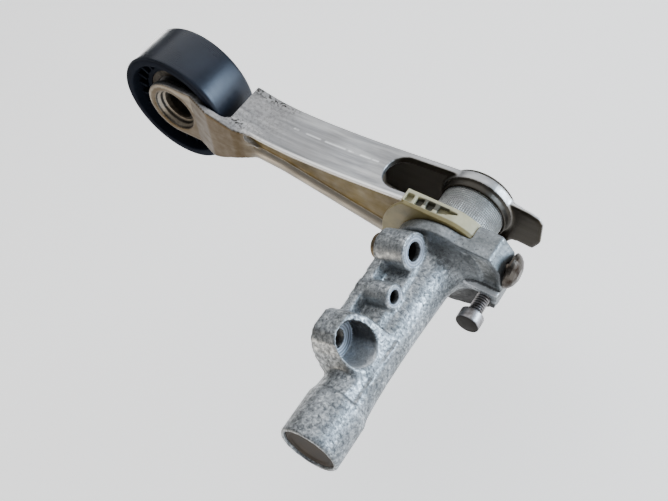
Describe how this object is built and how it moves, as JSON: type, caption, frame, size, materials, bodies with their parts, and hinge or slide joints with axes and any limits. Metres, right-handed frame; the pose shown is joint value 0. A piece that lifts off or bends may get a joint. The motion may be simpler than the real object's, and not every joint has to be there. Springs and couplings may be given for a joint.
{
  "type": "belt tensioner",
  "caption": "Long-arm belt tensioner: a cast arm with a smooth idler pulley turns on a tubular cast housing that holds a leaf torsion spring and bolts on sideways.",
  "frame": {"origin": "axis of the lower bolt hole, in the plane of the mounting face", "axes": "+X along the bolt holes, from the engine towards the bolt heads; +Y parallel to the arm's pivot and the pulley's axis, from the tube's open end towards the pulley; +Z square to both, up"},
  "size_m": [0.2228, 0.1492, 0.1263],
  "materials": {
    "housing_casting": "die-cast, mottled grey",
    "arm_casting": "die-cast, satin, scuffed",
    "cap_brown": "matt, dusty",
    "cap_plastic": "matt",
    "spring_steel": "satin",
    "sleeve_mesh": "fine mesh",
    "nylon": "satin",
    "screw_steel": "satin, tarnished",
    "axle_steel": "satin",
    "bearing_steel": "ground",
    "pulley_plastic": "glossy",
    "seal_rubber": "matt",
    "cage_plastic": "matt"
  },
  "bodies": {
    "base": {"housing": "housing_casting", "end_cap": "cap_brown", "leaf_anchor": "spring_steel", "torsion_leaves": "spring_steel", "friction_sleeve": "sleeve_mesh", "thrust_ring": "nylon", "rear_washer": "nylon", "lock_screw": "screw_steel", "dome_screw": "screw_steel", "locating_dowel": "screw_steel"},
    "arm": {"arm": "arm_casting", "leaf_socket": "spring_steel", "hub_cap": "cap_plastic", "pulley_axle": "axle_steel", "bearing_inner_ring": "bearing_steel"},
    "pulley": {"pulley": "pulley_plastic", "bearing_outer_ring": "bearing_steel", "bearing_seal_near": "seal_rubber", "bearing_seal_far": "seal_rubber"},
    "cage": {"ball_cage": "cage_plastic", "bearing_balls": "bearing_steel"}
  },
  "joints": [
    {"name": "arm_pivot", "type": "hinge", "parent": "base", "child": "arm", "pos_m": [0.0125, 0.0775, -0.017], "axis": [0, -1, 0], "range_deg": [0, 40], "stiffness_Nm_per_rad": 28, "springref_deg": -34.38, "deforming": ["torsion_leaves"]},
    {"name": "pulley_spin", "type": "hinge", "parent": "arm", "child": "pulley", "pos_m": [-0.13764, 0.09052, 0.04985], "axis": [0, 1, 0], "continuous": true},
    {"name": "cage_spin", "type": "hinge", "parent": "arm", "child": "cage", "pos_m": [-0.13764, 0.09052, 0.04985], "axis": [0, 1, 0], "continuous": true}
  ],
  "couplings": [
    {"joint": "cage_spin", "follows": "pulley_spin", "ratio": 0.6182}
  ]
}
